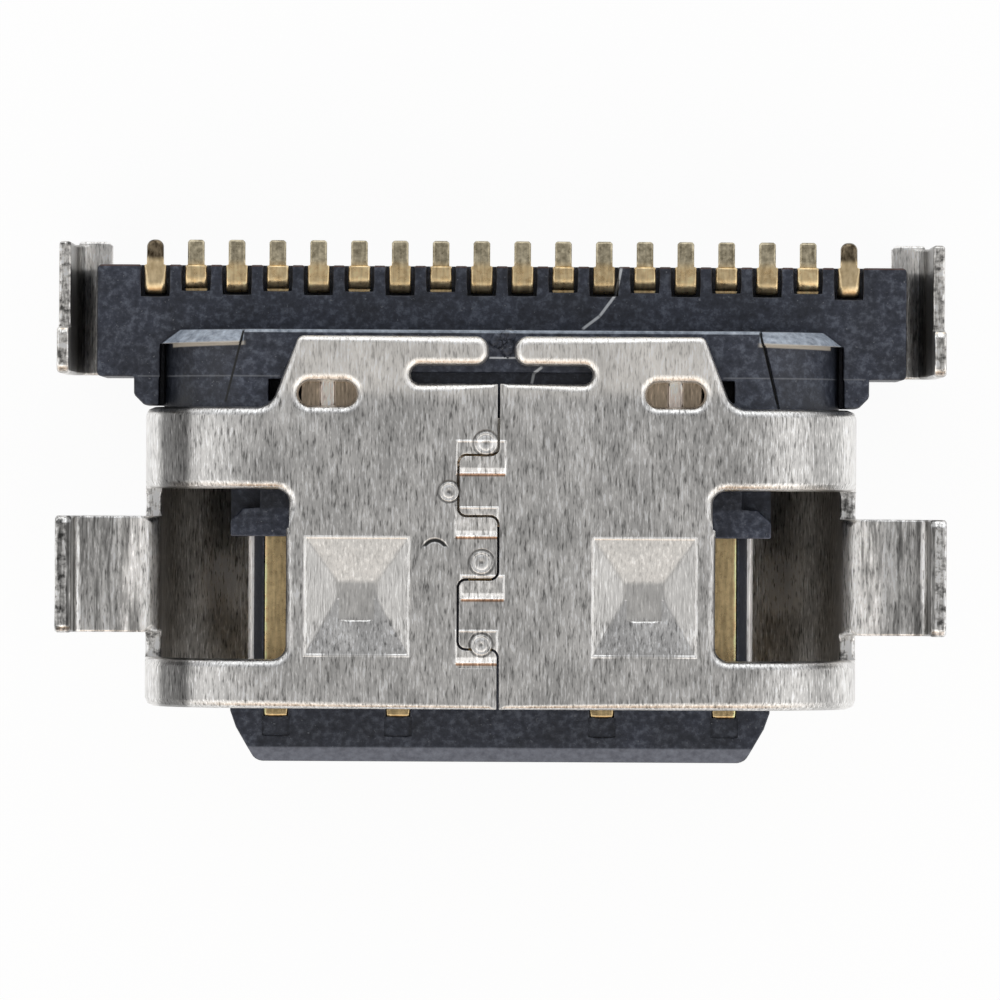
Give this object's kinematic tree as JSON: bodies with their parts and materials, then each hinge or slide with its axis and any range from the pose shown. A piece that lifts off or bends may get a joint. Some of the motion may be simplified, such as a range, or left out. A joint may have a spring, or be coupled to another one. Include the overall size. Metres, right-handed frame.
{
  "type": "charging port connector",
  "caption": "Sunk oval charging port connector: folded steel shell with interlocked seam and solder tabs, black tongue and rear block, and a row of gold solder tails.",
  "frame": {"origin": "centre of the overall box in plan, on the flat outer face that the connector lies on", "axes": "+X across the connector, +Y from the plug mouth to the solder tails, +Z to the board side, the way the solder legs point"},
  "size_m": [0.0108, 0.0064, 0.0031],
  "materials": {
    "shell_steel": "brushed",
    "cover_steel": "brushed",
    "plate_steel": "satin",
    "black_moulding": "matte",
    "contact_gold": "satin"
  },
  "bodies": {
    "root": {"receptacle_shell": "shell_steel", "rear_cover": "cover_steel", "rear_housing": "black_moulding", "board_side_insulator": "black_moulding", "far_side_insulator": "black_moulding", "mid_plate": "plate_steel", "board_side_ground_plate": "plate_steel", "far_side_ground_plate": "plate_steel", "board_side_contact_1": "contact_gold", "far_side_contact_1": "contact_gold", "board_side_contact_2": "contact_gold", "far_side_contact_2": "contact_gold", "board_side_contact_3": "contact_gold", "far_side_contact_3": "contact_gold", "board_side_contact_4": "contact_gold", "far_side_contact_4": "contact_gold", "board_side_contact_5": "contact_gold", "far_side_contact_5": "contact_gold", "board_side_contact_6": "contact_gold", "far_side_contact_6": "contact_gold", "board_side_contact_7": "contact_gold", "far_side_contact_7": "contact_gold", "board_side_contact_8": "contact_gold", "far_side_contact_8": "contact_gold"}
  },
  "joints": []
}
